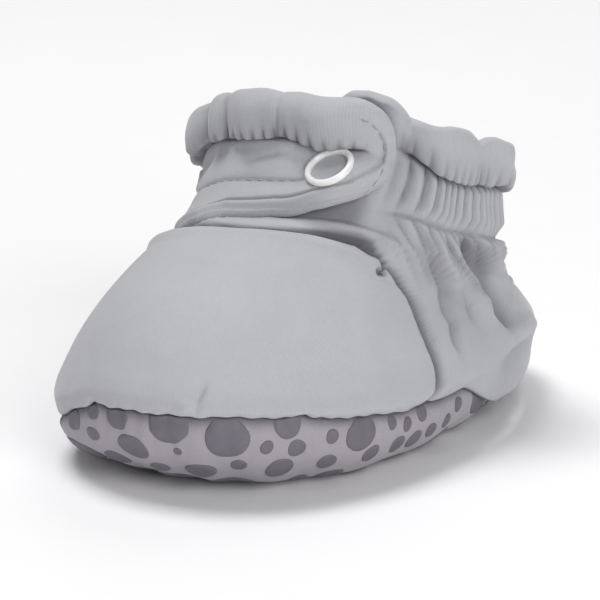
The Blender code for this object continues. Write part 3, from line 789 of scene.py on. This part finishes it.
# The top edge's level goes with the turn, and the seam's turn with the level, so both settle
level = climb * 5.9
for _ in range(4):
    turn = share * seam_turn(level)
    level = climb * vamp_edge(turn)
skin = sewn_out(form(turn, level), level)
out = form_out(turn, level)
run = paced(skin, 1)
to_edge = np.minimum(run, run[:, -1:] - run)
up_run = paced(skin[:VAMP_ROWS], 0)
to_top = np.concatenate([up_run[-1] - up_run, np.full((VAMP_BACK_ROWS, VAMP_COLUMNS), FAR_OFF)])
edge_dip = bell(to_edge, 0.85 * MM)
VAMP_FOLDS = (
    (((21.5, 0.1), (22.5, 0.9), (24.5, 1.9)), 0.7, -0.8),
    (((18.5, 0.1), (19.5, 1.1)), 1.2, 0.5),
    (((52.6, 5.66), (56.6, 5.70)), 0.75, -2.2),
    (((8, 5.8), (6, 4.5), (4, 3.0), (3, 1.6)), 9.0, 0.4),
    (((-24, 0.6), (-20, 1.5), (-15, 2.2)), 3.0, -0.35),
    (((58, 1.0), (52, 2.2), (47, 3.4)), 4.0, -0.4),
    (((-60, 1.2), (-52, 2.5), (-44, 3.8)), 4.5, -0.45),
    (((75, 1.2), (66, 2.8), (57, 4.4)), 2.2, 0.4),
    (((-75, 1.2), (-66, 2.8), (-57, 4.4)), 2.2, 0.4),
)
folds = folded(skin, VAMP_FOLDS)
# Easing the cloth into the sole seam leaves small puckers along it
seam_pucker = SEAM_PUCKER * np.sin(np.radians(turn) * 60 + 2 * np.sin(np.radians(turn) * 6))
hem = HEM_RISE * bell(to_top - 0.6 * MM, 1.2 * MM) * ramp(0.0, 4 * MM, to_edge)
hem = hem - 0.12 * MM * bell(to_top - 3.2 * MM, 0.5 * MM)
lift = folds + hem + seam_pucker * ramp(0.6, 0.05, level) - EDGE_TURN * edge_dip
lift = lift - SEAM_PINCH * bell(level, 0.07)
vamp = skin + out * lift[..., None]
vamp[..., 2] += seam_rise(turn) * ramp(0.9, 0.0, level)
outer, under = vamp[:VAMP_ROWS], vamp[VAMP_ROWS:] - out[VAMP_ROWS:] * VAMP_THICKNESS
under_edge = np.minimum(to_edge[VAMP_ROWS:] / (1.2 * MM), 1)[..., None]
under = under + out[VAMP_ROWS:] * (1 - under_edge) * VAMP_THICKNESS * 0.5
top_fold = rolled(outer[-1], under[0], unit(outer[-1] - outer[-3]))
vamp_points = np.concatenate([outer, top_fold, under])
run = run - run[:, -1:] / 2
front_run, back_run = run[:VAMP_ROWS], run[VAMP_ROWS:]
vamp_round = np.concatenate([front_run, np.repeat(front_run[-1:], ROLL_ROWS, axis=0), back_run])
vamp_uv = np.stack([vamp_round, paced(vamp_points, 0)], axis=-1)
# Painted shade at the vamp's turned side edges, along the sole seam and in its fold valleys
painted_shade = 0.9 * edge_dip + 0.8 * bell(level, 0.08) + np.clip(-folds / (1.8 * MM) - 0.25, 0, 1)
painted_shade = np.clip(painted_shade, 0, 1)
painted_shade = with_roll(painted_shade[:VAMP_ROWS], painted_shade[VAMP_ROWS:])
vamp_panel = cloth_object("vamp", vamp_points, vamp_uv, painted_shade, True, False)
vamp_panel.data.materials.append(jersey)
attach(vamp_panel, "root")
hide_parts("upper")

# Strap
# The real strap carries the casing and its ruffle on over the instep. It is sewn into the ankle at
# the inner side and ends in a round tab at the outer side, held down there by the ring snap.
STRAP_TIP = 48.0
STRAP_THICKNESS = 2.4 * MM
ROUND_FROM = 28.0
TAB_MIDDLE, TAB_HALF = 7.91, 1.05
# The tab's radius, in millimetres
TAB_RADIUS = 9.5
TAB_COLUMNS = 60
STRAP_COLUMNS = 300
STRAP_ROWS = 130
STRAP_BACK_ROWS = 50
HEM = 2.1 * MM
PUFF = 0.30 * MM
STRAP_SWELL = 2.7 * MM
STRAP_FLARE = 1.3 * MM
STRAP_OVERHANG = 1.3 * MM
STRAP_GATHER = 2.4 * MM
STRAP_VALLEYS = (-75.0, -61.0, -31.0, -20.0, 3.0, 64.0)
SNAP_TURN, SNAP_LEVEL = 26.0, 7.61
SNAP_LIFT = 1.2 * MM
SNAP_FACING = (-0.07, -0.54, 0.84)

snap_centre = form(SNAP_TURN, SNAP_LEVEL)
snap_out = unit(np.array(SNAP_FACING))
snap_side = unit(np.cross((0.0, 0.0, 1.0), snap_out))


def pressed_flat(points, on_form, height):
    """The cloth round the snap, pressed to one plane."""
    far = np.linalg.norm(on_form - snap_centre, axis=-1)
    share = 1 - ramp(4.2 * MM, 12.0 * MM, far)
    return points + snap_out * (share * (height - (points - snap_centre) @ snap_out))[..., None]


swing = np.linspace(0, 0.985 * math.pi / 2, TAB_COLUMNS + 1)[1:]
band_turns = np.linspace(STRAP_ROOT + 1.9, ROUND_FROM, STRAP_COLUMNS - TAB_COLUMNS)
tab_turns = ROUND_FROM + (STRAP_TIP - ROUND_FROM) * np.sin(swing)
strap_turns = np.concatenate([band_turns, tab_turns])
tab_half = np.concatenate([np.ones(STRAP_COLUMNS - TAB_COLUMNS), np.cos(swing)])
rim_turns = (-66, -40, -18, -5, 5, 20, 28)
rim_of_strap = np.interp(strap_turns, rim_turns, (8.72, 8.72, 8.8, 8.95, 9.0, 8.97, 8.95))
low_edge = TAB_MIDDLE + (strap_foot(np.minimum(strap_turns, ROUND_FROM)) - TAB_MIDDLE) * tab_half
high_edge = TAB_MIDDLE + (rim_of_strap - TAB_MIDDLE) * tab_half
share = np.concatenate([np.linspace(0, 1, STRAP_ROWS), np.linspace(1, 0, STRAP_BACK_ROWS)])[:, None]
level = low_edge + (high_edge - low_edge) * share
turn = np.broadcast_to(strap_turns, level.shape)
skin = form(turn, level)
out = form_out(turn, level)
round_turn = (turn - ROUND_FROM) / (STRAP_TIP - ROUND_FROM)
round_share = np.hypot(round_turn, (level - TAB_MIDDLE) / TAB_HALF)
from_tab_edge = np.where(turn > ROUND_FROM, (1 - round_share) * TAB_RADIUS * MM, FAR_OFF)
up_run = paced(skin[:STRAP_ROWS], 0)
from_low = np.concatenate([up_run, up_run[-1] * share[STRAP_ROWS:]])
from_high = np.maximum(up_run[-1] - from_low, 0)
from_edge = np.minimum(np.minimum(from_low, from_high), from_tab_edge)

# Levels of the strap's lower stitching and of the stitching under its ruffle
stitch_level = np.interp(turn, (-64, -31, -18, 10, 27, 30), (6.9, 7.15, 7.3, 7.45, 7.42, 7.4))
top_level = np.interp(turn, (-64, -45, -20, 0, 14, 26, 38), (8.12, 8.08, 8.03, 8.1, 8.2, 8.16, 8.0))
not_tab = ramp(38, 26, turn)
stitch_low = bell(level - stitch_level, 0.035) * ramp(19, 15, turn)
stitch_top = bell(level - top_level, 0.045) * ramp(40, 33, turn)
hem_run = np.minimum(from_low, from_tab_edge)
below_rim = ramp(8.6, 8.1, level)
stitch_hem = bell(hem_run - HEM, 0.32 * MM) * (1 - 0.5 * ramp(26, 34, turn)) * below_rim
hem_puff = PUFF * ramp(HEM, 1.4 * MM, hem_run) * ramp(0.0, 1.0 * MM, hem_run) * below_rim
casing_puff = PUFF * ramp(stitch_level, stitch_level + 0.15, level)
casing_puff = casing_puff * ramp(top_level, top_level - 0.2, level)
STRAP_FOLDS = (
    (((-54, 7.4), (-40, 7.55), (-28, 7.85)), 1.3, -0.45),
    (((-58, 7.7), (-48, 7.75), (-36, 7.9)), 1.1, 0.35),
    (((-60, 7.0), (-48, 7.05), (-30, 7.2)), 1.2, -0.35),
    (((-16, 7.5), (-4, 7.72), (8, 7.9)), 0.8, -0.35),
    (((-10, 7.45), (2, 7.65), (14, 7.85)), 1.2, 0.30),
    (((-20, 7.75), (-10, 7.85), (0, 7.9)), 1.0, -0.25),
    (((-5, 7.15), (8, 7.2), (22, 7.22)), 1.3, 0.25),
)
folds = folded(skin, STRAP_FOLDS)

rise = np.clip((level - top_level) / np.maximum(rim_of_strap - top_level, 0.1), 0, 1)
crown = crowns(turn, STRAP_VALLEYS, 0.6)
strap_run = ring_run(strap_turns, 8.1)
phase = strap_run / STRAP_GATHER + 0.3 * np.sin(strap_run / (5.3 * MM))
gather = np.abs(np.sin(math.pi * phase)) ** 0.8
gather_high = ramp(0.0, 0.05, rise) * ramp(0.45, 0.08, rise) * (0.35 + 0.65 * ramp(-34, -24, turn))
tube = STRAP_SWELL * np.sin(math.pi * rise**0.62) * (0.45 + 0.55 * crown)
flare = STRAP_FLARE * ramp(0.25, 1.0, rise) * (crown - 0.4)
small = 0.28 * MM * np.sin(turn / 2.9 + 2 * np.sin(turn / 13)) * ramp(0.05, 0.35, rise)
off_snap = ramp(5.2 * MM, 8.5 * MM, np.linalg.norm(skin - snap_centre, axis=-1))
ruffle = tube + flare + small + 1.0 * MM * gather_high * (gather - 0.5)
ruffle = ruffle * ramp(41, 20, turn) * off_snap
ruffle = ruffle + 0.8 * MM * ramp(-30, -42, turn) * ramp(-60, -52, turn) * ramp(0.0, 0.3, rise)
overhang = -STRAP_OVERHANG * ramp(0.0, 0.12, rise) * ramp(0.6, 0.16, rise) * (0.3 + 0.7 * crown)
overhang = overhang * ramp(32, 14, turn) * off_snap
rim_rise = MM * (1.1 * crown - 0.8 + 0.2 * np.sin(turn / 4.3))
rim_rise = rim_rise * ramp(0.35, 1.0, rise) * ramp(44, 30, turn)
stitched = -0.28 * MM * stitch_low - 0.8 * MM * stitch_top - 0.42 * MM * stitch_hem
edge_fall = -0.7 * MM * bell(from_edge, 0.8 * MM) * (1 - 0.8 * ramp(8.4, 8.7, level) * not_tab)

on_strap = pressed_flat(skin, skin, SNAP_LIFT)
lift = folds + hem_puff + casing_puff + ruffle + stitched + edge_fall
face = on_strap + out * lift[..., None]
face[..., 2] += overhang + rim_rise
outer = face[:STRAP_ROWS]
thickness = STRAP_THICKNESS * (1 - 0.12 * ramp(8.0, 8.3, level[STRAP_ROWS:]))
back = skin[STRAP_ROWS:] - out[STRAP_ROWS:] * thickness[..., None]
back = pressed_flat(back, skin[STRAP_ROWS:], SNAP_LIFT - STRAP_THICKNESS)
back = back + out[STRAP_ROWS:] * np.maximum(ruffle[STRAP_ROWS:], -0.4 * MM)[..., None] * 0.85
back[..., 2] += overhang[STRAP_ROWS:] * 0.7 + rim_rise[STRAP_ROWS:]

top_roll = rolled(outer[-1], back[0], unit(outer[-1] - outer[-4]))
low_roll = rolled(back[-1], outer[0], unit(outer[0] - outer[3]))
strap_points = np.concatenate([outer, top_roll, back, low_roll])
strap_round = np.broadcast_to(strap_run, strap_points.shape[:2])
strap_uv = np.stack([strap_round, paced(strap_points, 0)], axis=-1)
# Painted shade along the strap's stitching, between its gathers and under its ruffle
painted_shade = 0.4 * stitch_low + 0.85 * stitch_top + 0.5 * stitch_hem
painted_shade = painted_shade + 0.7 * gather_high * (1 - gather) * not_tab
under_crown = (0.4 * (1 - crown) ** 2 + 0.2) * ramp(0.02, 0.1, rise) * ramp(0.9, 0.2, rise)
painted_shade = np.clip(painted_shade + under_crown * ramp(41, 20, turn), 0, 1)
painted_shade = with_roll(painted_shade[:STRAP_ROWS], 0 * painted_shade[STRAP_ROWS:])
painted_shade = np.concatenate([painted_shade, np.zeros((ROLL_ROWS, STRAP_COLUMNS))])
strap = cloth_object("strap_and_ruffle", strap_points, strap_uv, painted_shade, True, False)
strap.data.materials.append(jersey)
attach(strap, "root")
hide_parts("strap")

# Stitching
# The real thread is grey polyester, sewn about four stitches to the centimetre. It holds the
# elastic in its casing and runs round the strap's tab, and a bar tack holds each upper corner of
# the vamp.
THREAD = (0.34, 0.34, 0.365)
THREAD_WIDTH = 0.30 * MM
TACK_WIDTH = 0.34 * MM
STITCH_LENGTH = 1.7 * MM
STITCH_PITCH = 2.4 * MM
# Along a stitch: the share of its length, how thick it is, and how far it stands off the cloth
STITCH_RINGS = ((0, 0.35, -0.5), (0.12, 0.9, 0.1), (0.5, 1.0, 0.35), (0.88, 0.9, 0.1), (1, 0.35, -0.5))
STITCH_SIDES = 6
TACK_BARS = 3
TACK_HALF = 2.2
thread = new_material("grey_thread", {"Roughness": 0.7, "Sheen Weight": 0.15})
thread_dark, thread_light = ([part * value for value in THREAD] for part in (0.8, 1.25))
feed(thread, dyed(thread, thread_dark, thread_light, object_noise(thread, 3200.0)), "Base Color")


def skin_of(piece):
    """A piece's mesh, ready for rays to be cast on it."""
    corners = [vertex.co.copy() for vertex in piece.data.vertices]
    return BVHTree.FromPolygons(corners, [tuple(face.vertices) for face in piece.data.polygons])


def stitch_run(turns_levels, carrier, pitch=STITCH_PITCH, length=STITCH_LENGTH):
    """The two ends and the outward direction of each stitch of a seam that is laid on a piece."""
    spots = np.array(turns_levels, float)
    fine = np.linspace(0, len(spots) - 1, 60 * len(spots))
    turns = np.interp(fine, np.arange(len(spots)), spots[:, 0])
    levels = np.interp(fine, np.arange(len(spots)), spots[:, 1])
    line, away = form(turns, levels), form_out(turns, levels)
    run = np.concatenate([[0], np.cumsum(np.linalg.norm(np.diff(line, axis=0), axis=1))])
    found = []
    for start in np.arange(pitch / 2, run[-1] - length, pitch):
        ends = []
        for at in (start, start + length):
            spot = Vector([np.interp(at, run, line[:, axis]) for axis in range(3)])
            out = Vector([np.interp(at, run, away[:, axis]) for axis in range(3)]).normalized()
            hit, _, _, _ = carrier.ray_cast(spot + out * 8 * MM, -out)
            if hit is not None:
                ends.append((hit, out))
        if len(ends) == 2:
            found.append((ends[0][0], ends[1][0], ends[0][1]))
    return found


def sewn(name, stitches, width):
    """All stitches of a seam as one mesh: each is a small round bar that dips in at both ends."""
    points, faces = [], []
    for start, end, out in stitches:
        along = end - start
        side = along.cross(out).normalized()
        first = len(points)
        for share, thick, lift in STITCH_RINGS:
            centre = start + along * share + out * width * lift
            for step in range(STITCH_SIDES):
                angle = 2 * math.pi * step / STITCH_SIDES
                spoke = side * math.cos(angle) + out * math.sin(angle)
                points.append(centre + spoke * width / 2 * thick)
        for ring in range(len(STITCH_RINGS) - 1):
            for step in range(STITCH_SIDES):
                a = first + ring * STITCH_SIDES + step
                b = first + ring * STITCH_SIDES + (step + 1) % STITCH_SIDES
                faces.append((a, b, b + STITCH_SIDES, a + STITCH_SIDES))
        faces.append(tuple(range(first, first + STITCH_SIDES))[::-1])
        faces.append(tuple(range(len(points) - STITCH_SIDES, len(points))))
    made = new_piece(name, points, faces)
    made.data.materials.append(thread)
    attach(made, "root")


strap_skin, quarter_skin, vamp_skin = skin_of(strap), skin_of(quarters), skin_of(vamp_panel)
tab_line = []
shrink = 1 - 2.0 / TAB_RADIUS
for angle in np.linspace(-1.45, 1.45, 16):
    tab_line.append((
        ROUND_FROM + (STRAP_TIP - ROUND_FROM) * shrink * math.cos(angle),
        TAB_MIDDLE + TAB_HALF * shrink * math.sin(angle),
    ))
casing_line = [(t, float(low_line((t + 180) % 360 - 180))) for t in range(52, 291, 6)]
seams = stitch_run(((-56, 6.96), (-31, 7.15), (-18, 7.3), (10, 7.45), (16, 7.45)), strap_skin)
seams += stitch_run(tab_line, strap_skin) + stitch_run(casing_line, quarter_skin)
sewn("strap_and_casing_stitches", seams, THREAD_WIDTH)
tacks = []
for turn_at, level_at in ((55.6, 5.84), (-54.5, 5.90)):
    for step in range(TACK_BARS):
        bar_level = level_at - 0.10 + 0.06 * step
        bar = ((turn_at - TACK_HALF, bar_level), (turn_at + TACK_HALF, bar_level - 0.04))
        tacks += stitch_run(bar, vamp_skin, 2.0 * MM, 1.5 * MM)
sewn("bar_tacks", tacks, TACK_WIDTH)

# Ring snap
# The real snap is a pressed ring of white enamelled metal with the strap's cloth showing inside
# it. Its prongs go through to a socket under the strap, and a like ring is set inside the ankle.
ENAMEL = (0.88, 0.88, 0.87)
enamel = new_material("white_enamel", {"Coat Weight": 0.5, "Coat Roughness": 0.08})
pooled = object_noise(enamel, 500.0)
feed(enamel, dyed(enamel, [0.96 * value for value in ENAMEL], ENAMEL, pooled), "Base Color")
gloss = shader_node(enamel.node_tree, "MapRange", {"To Min": 0.22, "To Max": 0.34})
enamel.node_tree.links.new(pooled, gloss.inputs["Value"])
feed(enamel, gloss.outputs[0], "Roughness")
emboss(enamel, pooled, 0.25, 0.03 * MM)

RING_MIDDLE = 4.25 * MM
RING_HALF = 0.62 * MM
CAP_STANDS_OFF = 1.75 * MM
POST_SUNK = 0.3 * MM
snap_up = np.cross(snap_out, snap_side)
# The ring inside the ankle lies flat on the lining: its plane is laid through the wall's inner face
wall_out = form_out(SNAP_TURN, SNAP_LEVEL)
lining_spots = []
for angle in np.linspace(0, 2 * math.pi, 24, endpoint=False):
    spoke = snap_side * math.cos(angle) + snap_up * math.sin(angle)
    start = snap_centre - 16 * MM * wall_out + RING_MIDDLE * spoke
    hit, _, _, _ = quarter_skin.ray_cast(Vector(start), Vector(wall_out))
    if hit is not None:
        lining_spots.append(np.array(hit))
lining_middle = np.mean(lining_spots, axis=0)
lining_out = np.linalg.svd(lining_spots - lining_middle)[2][2]
lining_out = lining_out * np.sign(lining_out @ wall_out)
for name, centre, facing in (
    ("snap_cap_ring", snap_centre + CAP_STANDS_OFF * snap_out, snap_out),
    ("snap_post_ring", lining_middle - POST_SUNK * lining_out, lining_out),
):
    level_side = unit(np.cross((0.0, 0.0, 1.0), facing))
    turned = Matrix(np.column_stack([level_side, np.cross(facing, level_side), facing]).tolist()).to_4x4()
    turned.translation = Vector(centre)
    bpy.ops.object.select_all(action="DESELECT")
    bpy.ops.mesh.primitive_torus_add(
        major_segments=96, minor_segments=20, major_radius=RING_MIDDLE, minor_radius=RING_HALF
    )
    ring = bpy.context.active_object
    ring.name = name.replace("snap", "enamel")
    bpy.ops.object.mode_set(mode="EDIT")
    bpy.ops.mesh.select_all(action="SELECT")
    bpy.ops.transform.resize(value=(1, 1, 1.15))
    bpy.ops.object.mode_set(mode="OBJECT")
    ring.matrix_world = turned
    bpy.ops.object.transform_apply(location=True, rotation=True, scale=True)
    ring.data.shade_smooth()
    ring.data.materials.append(enamel)
    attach(ring, "root")
    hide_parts(name)
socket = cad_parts["snap_socket"]
for slot in socket.material_slots:
    slot.material = enamel

# Floor, light and camera
# A plain pale floor under plain soft studio light, and the camera ahead of the shoe and to its
# outer side, a little above it.
bpy.ops.object.select_all(action="DESELECT")
bpy.ops.mesh.primitive_plane_add(size=6.0, location=(0, 0, 0))
floor = bpy.context.active_object
floor.name = "floor"
FLOOR_DARK, FLOOR_LIGHT = (0.93, 0.925, 0.935), (0.95, 0.945, 0.955)
paper = new_material("pale_floor", {"Roughness": 0.8})
feed(paper, dyed(paper, FLOOR_DARK, FLOOR_LIGHT, object_noise(paper, 40.0)), "Base Color")
floor.data.materials.append(paper)

world = bpy.context.scene.world or bpy.data.worlds.new("studio")
bpy.context.scene.world = world
world.use_nodes = True
sky = world.node_tree.nodes.get("Background")
sky.inputs["Color"].default_value = (1.0, 0.995, 1.0, 1)
sky.inputs["Strength"].default_value = 0.21
bpy.context.scene.view_settings.view_transform = "Standard"

SHOE_MIDDLE = Vector((0.0, 0.0, 0.025))
for name, place_at, size, power in (
    ("key", (-0.32, -0.06, 1.15), 0.5, 8.7),
    ("fill", (0.85, -0.50, 0.48), 0.6, 6.2),
    ("back", (-0.3, 0.9, 0.8), 0.8, 3.0),
):
    lamp = bpy.data.lights.new(name, "AREA")
    lamp.size = size
    lamp.energy = power
    light = bpy.data.objects.new(name, lamp)
    light.location = place_at
    light.rotation_euler = (SHOE_MIDDLE - Vector(place_at)).to_track_quat("-Z", "Y").to_euler()
    bpy.context.scene.collection.objects.link(light)

CAMERA_AWAY = 0.8
VIEW_WIDTH = 0.1135
SENSOR_WIDTH = 36.0
camera_data = bpy.data.cameras.new("camera")
camera_data.sensor_width = SENSOR_WIDTH
camera_data.lens = SENSOR_WIDTH * CAMERA_AWAY / VIEW_WIDTH
camera = bpy.data.objects.new("camera", camera_data)
camera.location = SHOE_MIDDLE + AHEAD_TOWARD.normalized() * CAMERA_AWAY
camera.rotation_euler = (-AHEAD_TOWARD).to_track_quat("-Z", "Y").to_euler()
bpy.context.scene.collection.objects.link(camera)
bpy.context.scene.camera = camera
